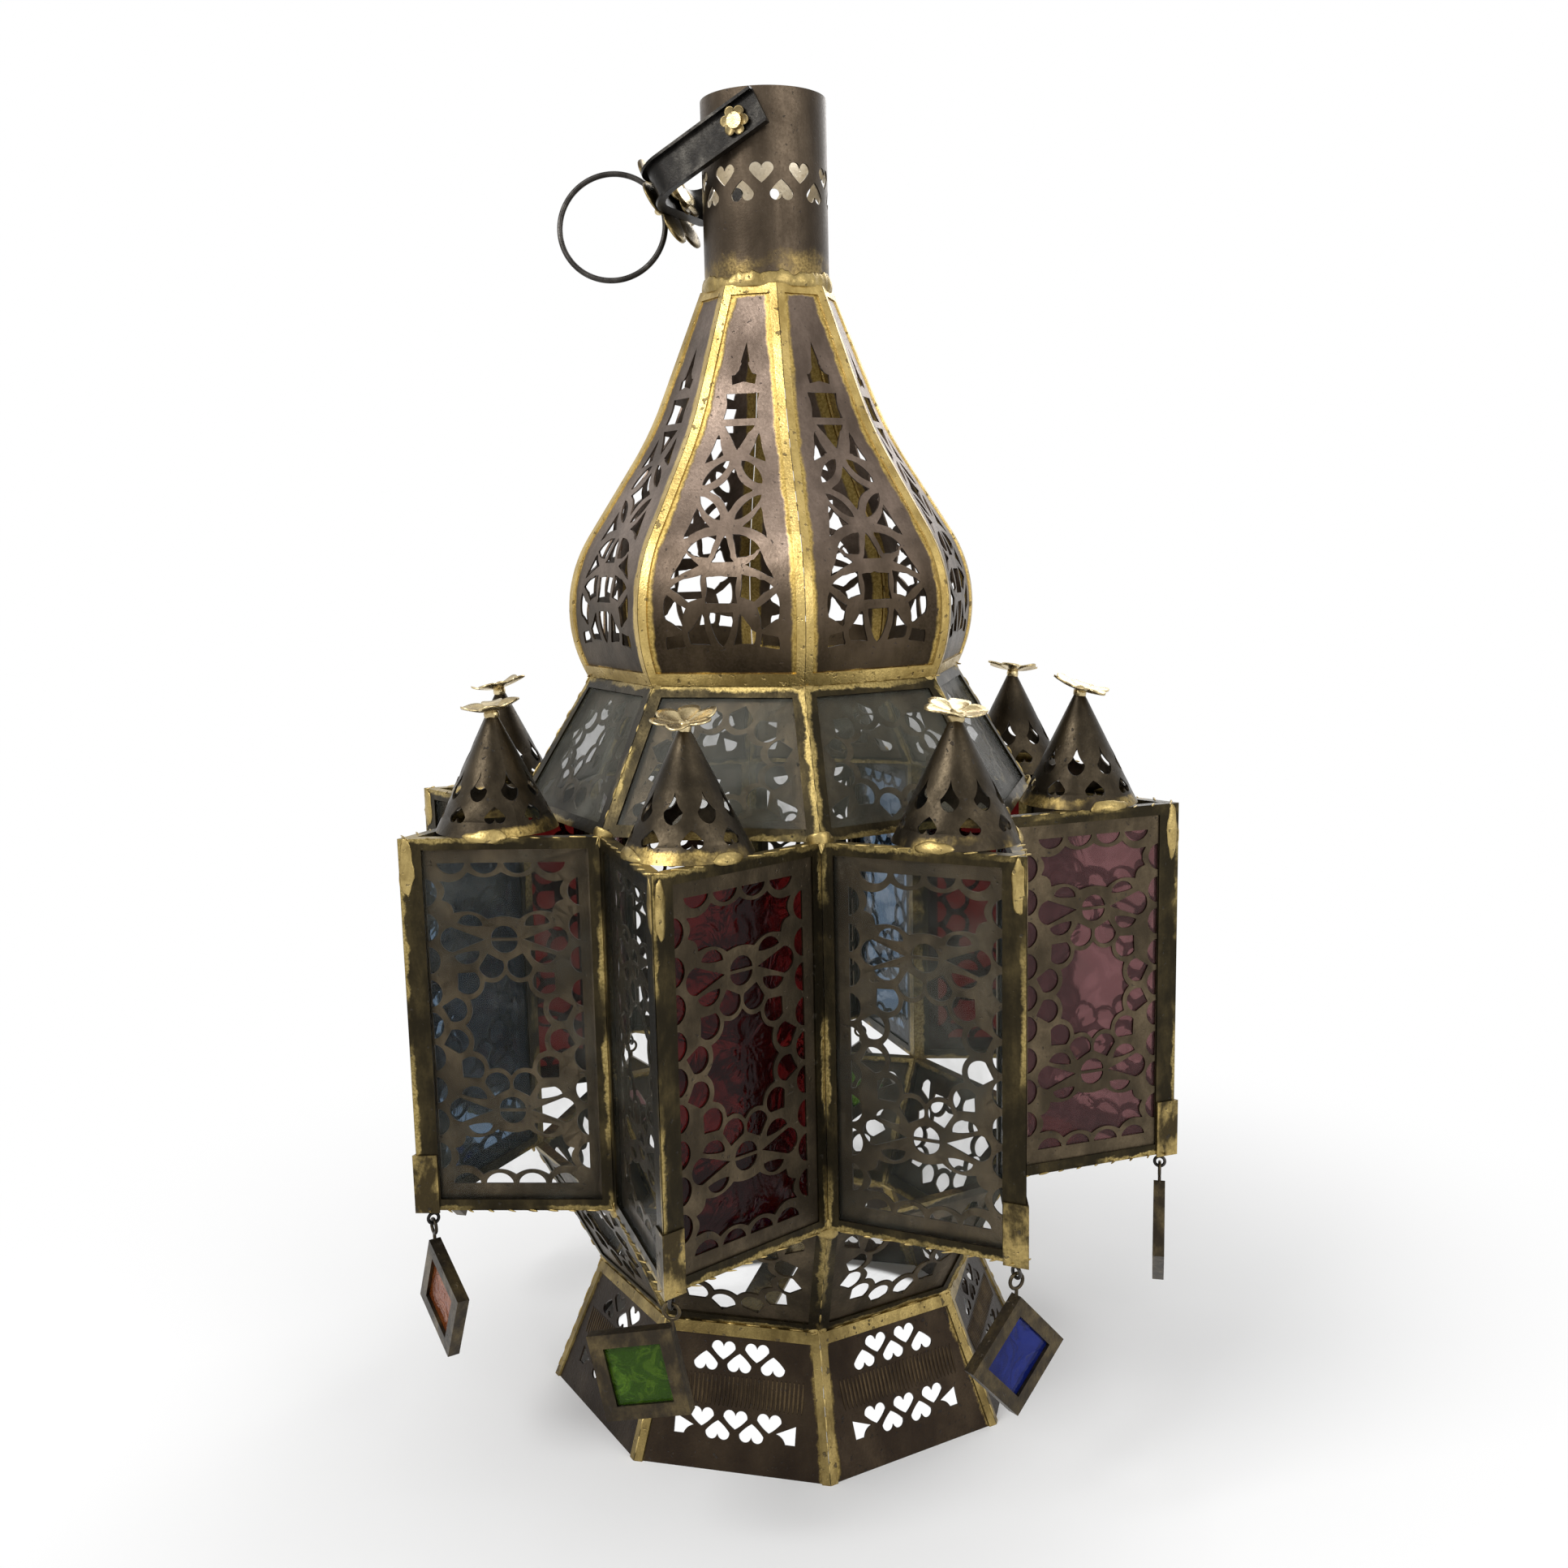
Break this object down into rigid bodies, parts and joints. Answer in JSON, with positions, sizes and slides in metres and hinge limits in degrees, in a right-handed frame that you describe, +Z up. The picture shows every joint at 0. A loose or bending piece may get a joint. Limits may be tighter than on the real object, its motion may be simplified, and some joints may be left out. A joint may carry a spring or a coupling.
{
  "type": "ramadan fanous lantern",
  "caption": "Pierced brass lantern with a star-shaped glazed body, onion dome, chimney neck, swinging bail and ring, and coloured glass pendants hung from the star's points.",
  "frame": {"origin": "middle of the base's bottom edge, on the floor", "axes": "+Z up the lantern's axis, -Y out through one star point, towards the viewer's left of centre"},
  "size_m": [0.3568, 0.3568, 0.57],
  "materials": {
    "dark_sheet": "antiqued",
    "bright_brass": "worn",
    "filigree": "antiqued",
    "wire": "worn",
    "clear_glass": "clear",
    "red_glass": "coloured",
    "rose_glass": "coloured",
    "blue_glass": "coloured",
    "green_glass": "coloured",
    "amber_glass": "coloured"
  },
  "bodies": {
    "lantern": {"neck_tube": "dark_sheet", "neck_collar": "bright_brass", "dome_panel_1": "dark_sheet", "dome_panel_2": "dark_sheet", "dome_panel_3": "dark_sheet", "dome_panel_4": "dark_sheet", "dome_panel_5": "dark_sheet", "dome_panel_6": "dark_sheet", "dome_panel_7": "dark_sheet", "dome_panel_8": "dark_sheet", "dome_edging": "bright_brass", "shoulder_frames": "bright_brass", "shoulder_grilles": "filigree", "shoulder_glass": "clear_glass", "star_frames": "bright_brass", "star_grille_1": "filigree", "star_grille_2": "filigree", "star_grille_3": "filigree", "star_grille_4": "filigree", "star_grille_5": "filigree", "star_grille_6": "filigree", "star_grille_7": "filigree", "star_grille_8": "filigree", "star_glass_clear": "clear_glass", "star_glass_red": "red_glass", "star_glass_rose": "rose_glass", "star_glass_blue": "blue_glass", "turret_cones": "dark_sheet", "turret_flowers": "bright_brass", "wall_frames": "bright_brass", "wall_grilles": "filigree", "wall_glass": "clear_glass", "base_panels": "dark_sheet", "base_edging": "bright_brass", "tip_caps": "bright_brass", "pendant_hooks": "wire", "bail_rivets": "wire", "bail_washers": "bright_brass", "candle_bar": "wire", "candle_cup": "wire"},
    "bail": {"bail_strap": "bright_brass", "bail_flowers": "bright_brass", "hanging_eye": "wire"},
    "ring": {"hanging_ring": "wire"},
    "pendant_1": {"pendant_frame_1": "bright_brass", "pendant_glass_1": "green_glass"},
    "pendant_2": {"pendant_frame_2": "bright_brass", "pendant_glass_2": "blue_glass"},
    "pendant_3": {"pendant_frame_3": "bright_brass", "pendant_glass_3": "red_glass"},
    "pendant_4": {"pendant_frame_4": "bright_brass", "pendant_glass_4": "amber_glass"},
    "pendant_5": {"pendant_frame_5": "bright_brass", "pendant_glass_5": "green_glass"},
    "pendant_6": {"pendant_frame_6": "bright_brass", "pendant_glass_6": "rose_glass"},
    "pendant_7": {"pendant_frame_7": "bright_brass", "pendant_glass_7": "blue_glass"},
    "pendant_8": {"pendant_frame_8": "bright_brass", "pendant_glass_8": "amber_glass"}
  },
  "joints": [
    {"name": "bail_pivot", "type": "hinge", "parent": "lantern", "child": "bail", "pos_m": [0, 0, 0.556], "axis": [0.1392, 0.9903, 0], "range_deg": [-10, 244]},
    {"name": "ring_swing", "type": "hinge", "parent": "bail", "child": "ring", "pos_m": [-0.0487, 0.00685, 0.53094], "axis": [-0.4496, 0.0632, 0.891], "range_deg": [-95, 55]},
    {"name": "pendant_1_swing", "type": "hinge", "parent": "lantern", "child": "pendant_1", "pos_m": [0, -0.171, 0.1091], "axis": [1, 0, 0], "range_deg": [-45, 45]},
    {"name": "pendant_2_swing", "type": "hinge", "parent": "lantern", "child": "pendant_2", "pos_m": [0.12091, -0.12091, 0.1091], "axis": [0.7071, 0.7071, 0], "range_deg": [-45, 45]},
    {"name": "pendant_3_swing", "type": "hinge", "parent": "lantern", "child": "pendant_3", "pos_m": [0.171, 0, 0.1091], "axis": [0, 1, 0], "range_deg": [-45, 45]},
    {"name": "pendant_4_swing", "type": "hinge", "parent": "lantern", "child": "pendant_4", "pos_m": [0.12091, 0.12091, 0.1091], "axis": [-0.7071, 0.7071, 0], "range_deg": [-45, 45]},
    {"name": "pendant_5_swing", "type": "hinge", "parent": "lantern", "child": "pendant_5", "pos_m": [0, 0.171, 0.1091], "axis": [-1, 0, 0], "range_deg": [-45, 45]},
    {"name": "pendant_6_swing", "type": "hinge", "parent": "lantern", "child": "pendant_6", "pos_m": [-0.12091, 0.12091, 0.1091], "axis": [-0.7071, -0.7071, 0], "range_deg": [-45, 45]},
    {"name": "pendant_7_swing", "type": "hinge", "parent": "lantern", "child": "pendant_7", "pos_m": [-0.171, 0, 0.1091], "axis": [0, -1, 0], "range_deg": [-45, 45]},
    {"name": "pendant_8_swing", "type": "hinge", "parent": "lantern", "child": "pendant_8", "pos_m": [-0.12091, -0.12091, 0.1091], "axis": [0.7071, -0.7071, 0], "range_deg": [-45, 45]}
  ]
}
